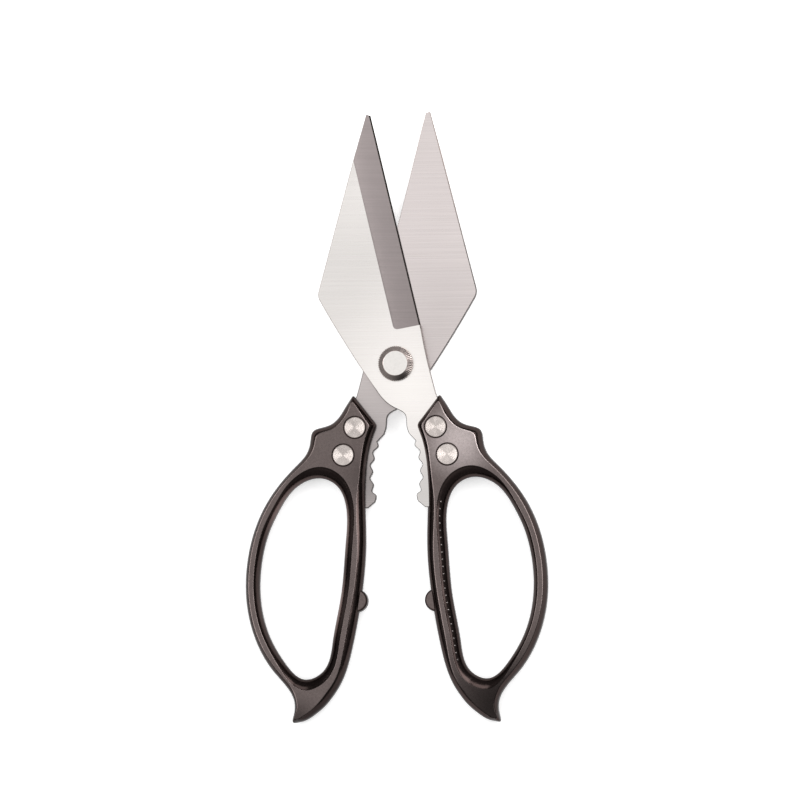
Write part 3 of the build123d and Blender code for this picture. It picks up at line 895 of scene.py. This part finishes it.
def turnedTree():
    # Turns a profile about Z at each place, with fine grooves on its flat and knurls on
    # its rim. A place with facing -1 is turned over.
    tree, given = newTree("turnedPiece", [
        ("Profile", "Object", None), ("Segments", "Int", 96), ("Groove Pitch", "Float", 0.0005),
        ("Groove Depth", "Float", 0.0), ("Groove Reach", "Float", 0.003),
        ("Groove Height", "Float", 0.0), ("Knurls", "Int", 40), ("Knurl Depth", "Float", 0.0),
        ("Knurl Reach", "Float", 1.0), ("Knurl Height", "Float", 0.0),
        ("Finish", "Material", None)])

    def do(operation, first, second=0.0):
        return addNode(tree, "ShaderNodeMath", {0: first, 1: second},
                       operation=operation).outputs[0]

    def times(first, second):
        return do("MULTIPLY", first, second)

    def carved(value, phase, depth, within, above):
        # The value less a wave of the given depth, where the profile is within its bounds.
        wave = times(do("SUBTRACT", 1.0, do("COSINE", phase)), times(depth, 0.5))
        here = times(within, do("GREATER_THAN", height, above))
        return do("SUBTRACT", value, times(wave, here))

    profile = addNode(tree, "GeometryNodeObjectInfo", {"Object": given["Profile"]})
    count = addNode(tree, "GeometryNodeAttributeDomainSize",
                    {"Geometry": profile.outputs["Geometry"]}).outputs["Point Count"]
    grid = addNode(tree, "GeometryNodeMeshGrid", {
        "Vertices X": do("ADD", given["Segments"], 1.0), "Vertices Y": count})
    index = addNode(tree, "GeometryNodeInputIndex").outputs[0]
    column = do("FLOOR", do("DIVIDE", index, count))
    angle = times(do("DIVIDE", column, given["Segments"]), 2 * pi)
    sample = addNode(tree, "GeometryNodeSampleIndex", {
        "Geometry": profile.outputs["Geometry"], "Index": do("MODULO", index, count),
        "Value": addNode(tree, "GeometryNodeInputPosition").outputs[0]},
        data_type="FLOAT_VECTOR")
    parts = addNode(tree, "ShaderNodeSeparateXYZ", {0: sample.outputs[0]}).outputs
    radius, height = parts["X"], parts["Z"]
    sunk = carved(height, times(do("DIVIDE", radius, given["Groove Pitch"]), 2 * pi),
                  given["Groove Depth"], do("LESS_THAN", radius, given["Groove Reach"]),
                  given["Groove Height"])
    rolled = carved(radius, times(angle, given["Knurls"]), given["Knurl Depth"],
                    do("GREATER_THAN", radius, given["Knurl Reach"]), given["Knurl Height"])
    spot = addNode(tree, "ShaderNodeCombineXYZ", {
        "X": times(rolled, do("COSINE", angle)), "Y": times(rolled, do("SINE", angle)),
        "Z": sunk})
    turned = addNode(tree, "GeometryNodeSetPosition", {
        "Geometry": grid.outputs["Mesh"], "Position": spot.outputs[0]})
    welded = addNode(tree, "GeometryNodeMergeByDistance", {
        "Geometry": turned.outputs["Geometry"], "Distance": weldGap})
    facing = addNode(tree, "GeometryNodeInputNamedAttribute", {"Name": "facing"},
                     data_type="FLOAT").outputs["Attribute"]
    over = times(do("SUBTRACT", 1.0, facing), pi / 2)
    copies = addNode(tree, "GeometryNodeInstanceOnPoints", {
        "Points": given["Geometry"], "Instance": welded.outputs["Geometry"],
        "Rotation": addNode(tree, "ShaderNodeCombineXYZ", {"Y": over}).outputs[0]})
    return endTree(tree, copies, given["Finish"])


def turnedPiece(places, profile, values, name, angle):
    # The profile runs from the axis at the top out and down to the axis at the bottom.
    mesh = bpy.data.meshes.new(name)
    mesh.from_pydata([place for place, _ in places], [], [])
    facing = mesh.attributes.new("facing", "FLOAT", "POINT")
    facing.data.foreach_set("value", [float(way) for _, way in places])
    piece = linked(name, mesh)
    shape = pathObject([(size, 0, height) for size, height in profile], name + "_profile")
    applyTree(piece, turning, {"Profile": shape, **values})
    bpy.data.objects.remove(shape)
    return crisp(piece, angle, weld=True)


def beadTree():
    # Small beads at even steps along a path.
    tree, given = newTree("beadRow", [
        ("Pitch", "Float", 0.0025), ("Size", "Float", 0.0003),
        ("Finish", "Material", None)])
    path = addNode(tree, "GeometryNodeMeshToCurve", {"Mesh": given["Geometry"]})
    spaced = addNode(tree, "GeometryNodeResampleCurve", {
        "Curve": path.outputs["Curve"], "Length": given["Pitch"]}, mode="LENGTH")
    bead = addNode(tree, "GeometryNodeMeshIcoSphere", {
        "Radius": given["Size"], "Subdivisions": 2})
    soft = addNode(tree, "GeometryNodeSetShadeSmooth", {"Geometry": bead.outputs["Mesh"]})
    copies = addNode(tree, "GeometryNodeInstanceOnPoints", {
        "Points": spaced.outputs["Curve"], "Instance": soft.outputs["Geometry"]})
    return endTree(tree, copies, given["Finish"])


print("stage: beads")
beads = {
    "pitch": 2.5, "size": 0.34, "flankShare": 0.64, "top": 51.0, "bottom": 108.0,
    "legShare": 0.45,
}
loop, _ = loopRing(beads["flankShare"])
legEnd = handle["loopOffset"] + handle["loopWidth"] * beads["legShare"]
row = [p for p in loop if -beads["bottom"] < p[1] < -beads["top"] and p[0] < legEnd]
row.sort(key=lambda p: -p[1])
slope = sorted((share, down) for share, down, _, _ in flankProfile())
depth = np.interp(beads["flankShare"], *zip(*slope))
piece = pathObject([(x, y, handleTop - depth) for x, y in row], "beadPath")
applyTree(piece, beadTree(), {"Pitch": beads["pitch"] * mm, "Size": beads["size"] * mm,
                              "Finish": metals["beadPaintedSheen"]})
finished(piece, "grip_beads", turnFront, [metals["beadPaintedSheen"]], "front_half", [])


print("stage: turned rivets")
turning = turnedTree()
rivet = {
    "rimGap": 0.1, "headHeight": 1.1, "rimBreak": 0.2, "breakShare": 0.3, "faceSteps": 96,
    "groovePitch": 0.26, "grooveDepth": 0.036, "grooveShare": 0.93, "grooveFloor": 0.5,
    "eyeRadius": 0.3, "eyeDepth": 0.06, "shankRadius": 1.95, "shankGap": 0.02,
    "segments": 72, "faceShare": 0.9, "sharpAngle": 32,
    # breakShare, grooveFloor and faceShare are shares of rimBreak
}
rim, rimBreak, head = rivetRadius - rivet["rimGap"], rivet["rimBreak"], rivet["headHeight"]
shank, shankEnd = rivet["shankRadius"], (handleTop - rivet["shankGap"]) / 2
profile = [(0.0, -rivet["eyeDepth"])]
for i in range(1, rivet["faceSteps"] + 1):
    size = (rim - rimBreak) * i / rivet["faceSteps"]
    profile.append((size, -rivet["eyeDepth"] if size < rivet["eyeRadius"] else 0.0))
profile += [(rim - rimBreak * rivet["breakShare"], -rimBreak * rivet["breakShare"]),
            (rim, -rimBreak), (rim, -head), (shank, -head), (shank, -shankEnd),
            (0.0, -shankEnd)]
for hand, body in (("right", "front_half"), ("left", "rear_half")):
    places = []
    for level in ("upper", "lower"):
        low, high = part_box(hand + "_" + level + "_post")
        middle = (Vector(low) + Vector(high)) / 2
        places += [((middle.x, middle.y, handleTop * mm), 1), ((middle.x, middle.y, 0.0), -1)]
    piece = turnedPiece(places, profile, {
        "Segments": rivet["segments"], "Groove Pitch": rivet["groovePitch"] * mm,
        "Groove Depth": rivet["grooveDepth"] * mm,
        "Groove Reach": rim * rivet["grooveShare"] * mm,
        "Groove Height": -rimBreak * rivet["grooveFloor"] * mm,
        "Finish": metals["turnedSteel"]}, hand + "_turned_rivets", rivet["sharpAngle"])
    nodes = [hand + "_" + level + "_" + part for level in ("upper", "lower")
             for part in ("post", "sleeve")]
    # The rim break and side of each head get the painted shade.
    for face in piece.data.polygons:
        near = min((face.center - Vector(place)).length for place, _ in places)
        onFace = near < (rim - rimBreak * rivet["faceShare"]) * mm
        face.material_index = 0 if onFace else 1
    finished(piece, hand + "_turned_rivets", Matrix.Identity(4),
             [metals["turnedSteel"], metals["rivetRimPaintedShade"]], body, nodes)


print("stage: pivot screw")
pivot = {
    "flatRadius": 4.38, "rim": 0.6, "faceSteps": 60, "segments": 432,
    "groovePitch": 0.6, "grooveDepth": 0.016, "grooveShare": 0.95, "grooveFloor": 0.2,
    "knurls": 54, "knurlDepth": 0.34, "knurlBreaks": 2.2, "knurlFloor": -10,
    "edgeBreak": 0.05, "breakOut": 0.8, "breakDown": 0.5, "flatness": 0.98,
    "shankRadius": 1.98, "shankLength": 5.4, "sharpAngle": 14,
    # grooveFloor, knurlBreaks, breakOut and breakDown are shares of edgeBreak
}
flat, shank, bevel = pivot["flatRadius"], pivot["shankRadius"], pivot["edgeBreak"]
coneEnd = handleTop - pivotUnder - pivot["rim"]
under = coneEnd + pivot["rim"]
out, down = bevel * pivot["breakOut"], bevel * pivot["breakDown"]
profile = [(flat * i / pivot["faceSteps"], 0.0) for i in range(pivot["faceSteps"])]
profile += [(flat - bevel, 0.0), (flat + out, -down), (pivotRadius - bevel, down - coneEnd),
            (pivotRadius, -coneEnd - bevel), (pivotRadius, bevel - under),
            (pivotRadius - bevel, -under), (shank, -under),
            (shank, -under - pivot["shankLength"]), (0.0, -under - pivot["shankLength"])]
piece = turnedPiece([((0, 0, handleTop * mm), 1)], profile, {
    "Segments": pivot["segments"], "Groove Pitch": pivot["groovePitch"] * mm,
    "Groove Depth": pivot["grooveDepth"] * mm,
    "Groove Reach": flat * pivot["grooveShare"] * mm,
    "Groove Height": -bevel * pivot["grooveFloor"] * mm, "Knurls": pivot["knurls"],
    "Knurl Depth": pivot["knurlDepth"] * mm,
    "Knurl Reach": (pivotRadius - pivot["knurlBreaks"] * bevel) * mm,
    "Knurl Height": pivot["knurlFloor"] * mm, "Finish": metals["pivotSteel"]},
    "knurled_pivot_screw", pivot["sharpAngle"])
for face in piece.data.polygons:
    onFlat = face.normal[2] > pivot["flatness"] and face.center[2] > (handleTop - bevel) * mm
    face.material_index = 0 if onFlat else 1
finished(piece, "knurled_pivot_screw", Matrix.Identity(4),
         [metals["pivotFace"], metals["pivotSteel"]], "rear_half",
         ["pivot_screw"])


print("stage: carried-over pieces")
for node, finish in (("pivot_nut", "pivotSteel"), ("thrust_washer", "washerSteel"),
                     ("spring_washer", "washerSteel")):
    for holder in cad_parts[node].material_slots:
        holder.material = metals[finish]


print("stage: floor, light and camera")
studio = {
    # in metres, but the lens and the sensor in millimetres
    "floorTone": (0.88, 0.88, 0.88), "floorGlow": 0.42, "floorSize": 8.0,
    "floorDrop": 0.00002, "floorRoughness": 0.9, "floorShine": 0.1,
    "overhead": 1.12, "horizon": 0.24, "lowEdge": 0.48, "highEdge": 0.88,
    "lensLength": 400.0, "sensor": 36.0, "viewWidth": 0.2855, "lean": (0.13, -0.09, 1.0),
    "target": (0.00115, -0.0128, 0.00475),
}
lamps = {
    # place, length and width in metres, strength
    "rightStrip": ((0.62, 0.28, 0.56), (0.85, 0.30), 5.2),
    "leftStrip": ((-0.64, 0.05, 0.58), (0.80, 0.30), 3.8),
    "backStrip": ((0.05, 0.70, 0.60), (0.60, 0.24), 3.0),
}
bm = bmesh.new()
reach = studio["floorSize"] / 2
bm.faces.new([bm.verts.new((x * reach, y * reach, -studio["floorDrop"]))
              for x, y in ((-1, -1), (1, -1), (1, 1), (-1, 1))])
floor = toObject(bm, "floor")
paper = bpy.data.materials.new("palePaper")
paper.use_nodes = True
tree, sheet = paper.node_tree, paper.node_tree.nodes["Principled BSDF"]
sheet.inputs["Base Color"].default_value = (*studio["floorTone"], 1)
sheet.inputs["Roughness"].default_value = studio["floorRoughness"]
sheet.inputs["Specular IOR Level"].default_value = studio["floorShine"]
# The paper glows a little only where it is seen, straight or mirrored.
rays = addNode(tree, "ShaderNodeLightPath").outputs
seen = rays["Is Camera Ray"]
for other in ("Is Glossy Ray", "Is Transmission Ray"):
    seen = addNode(tree, "ShaderNodeMath", {0: seen, 1: rays[other]},
                   operation="MAXIMUM").outputs[0]
glow = addNode(tree, "ShaderNodeMath", {0: seen, 1: studio["floorGlow"]},
               operation="MULTIPLY")
sheet.inputs["Emission Color"].default_value = (1, 1, 1, 1)
tree.links.new(glow.outputs[0], sheet.inputs["Emission Strength"])
floor.data.materials.append(paper)

world = bpy.data.worlds.new("softDome")
scene.world = world
world.use_nodes = True
tree = world.node_tree
way = addNode(tree, "ShaderNodeTexCoord").outputs["Generated"]
rise = addNode(tree, "ShaderNodeSeparateXYZ", {0: way}).outputs["Z"]
shine = addNode(tree, "ShaderNodeMapRange", {
    "Value": rise, "From Min": studio["lowEdge"], "From Max": studio["highEdge"],
    "To Min": studio["horizon"], "To Max": studio["overhead"]},
    interpolation_type="SMOOTHSTEP")
tree.links.new(shine.outputs["Result"], tree.nodes["Background"].inputs["Strength"])
tree.nodes["Background"].inputs["Color"].default_value = (1, 1, 1, 1)

for name, (place, (length, width), strength) in lamps.items():
    light = bpy.data.lights.new(name, "AREA")
    light.shape = "RECTANGLE"
    light.size, light.size_y = length, width
    light.energy = strength * width * length * pi
    lamp = linked(name, light)
    lamp.location = place
    lamp.rotation_euler = (-Vector(place)).to_track_quat("-Z", "Y").to_euler()

camera = bpy.data.cameras.new("camera")
camera.lens, camera.sensor_width = studio["lensLength"], studio["sensor"]
viewer = linked("camera", camera)
back = Vector(studio["lean"]).normalized()
away = studio["viewWidth"] * studio["lensLength"] / studio["sensor"]
viewer.location = Vector(studio["target"]) + back * away
sideways = Vector((0, 1, 0)).cross(back).normalized()
viewer.rotation_euler = Matrix((sideways, back.cross(sideways), back)).transposed().to_euler()
scene.camera = viewer
scene.view_settings.view_transform = "Standard"
